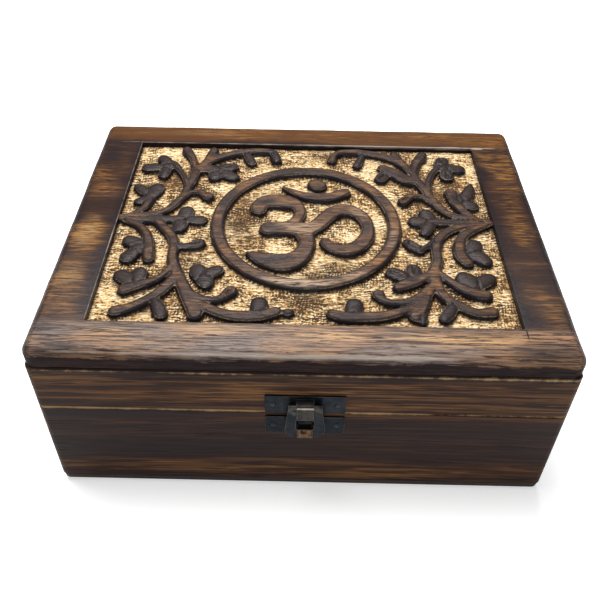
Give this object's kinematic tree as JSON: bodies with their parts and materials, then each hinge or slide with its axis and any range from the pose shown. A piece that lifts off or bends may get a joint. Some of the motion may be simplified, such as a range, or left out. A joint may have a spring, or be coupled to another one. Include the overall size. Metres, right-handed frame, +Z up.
{
  "type": "wooden storage box",
  "caption": "Rectangular wooden keepsake box with a hinged, relief-carved lid and a snap latch on the front, for papers and small things.",
  "frame": {"origin": "middle of the flat underside of the bottom board", "axes": "+X to the right along the length, +Y to the hinged back, +Z up"},
  "size_m": [0.203, 0.1577, 0.084],
  "materials": {
    "wood": "satin, scorched brown",
    "carved_wood": "satin, scorched brown with a pale carved ground",
    "dark_wood": "matte, dark",
    "black_metal": "blackened, worn at the edges",
    "steel": "dull",
    "spring_metal": "tarnished"
  },
  "bodies": {
    "base": {"base_front": "wood", "base_back": "wood", "base_left": "wood", "base_right": "wood", "base_bottom": "dark_wood", "bottom_brads": "steel", "hinge_left_base_leaf": "black_metal", "hinge_right_base_leaf": "black_metal", "hinge_left_pin": "steel", "hinge_right_pin": "steel", "hinge_base_screws": "steel", "latch_lower_plate": "black_metal", "latch_lower_nails": "black_metal", "latch_catch": "spring_metal"},
    "lid": {"lid_board": "carved_wood", "lid_rim_front": "wood", "lid_rim_back": "wood", "lid_rim_left": "wood", "lid_rim_right": "wood", "hinge_left_lid_leaf": "black_metal", "hinge_right_lid_leaf": "black_metal", "hinge_lid_screws": "steel", "latch_upper_plate": "black_metal", "latch_upper_nails": "black_metal"},
    "flap": {"latch_flap": "black_metal"}
  },
  "joints": [
    {"name": "lid_hinge", "type": "hinge", "parent": "base", "child": "lid", "pos_m": [0, 0.075, 0.0515], "axis": [-1, 0, 0], "range_deg": [0, 105], "deforming": ["latch_catch"]},
    {"name": "flap_swing", "type": "hinge", "parent": "lid", "child": "flap", "pos_m": [0.001, -0.079, 0.0585], "axis": [-1, 0, 0], "range_deg": [0, 165]}
  ]
}
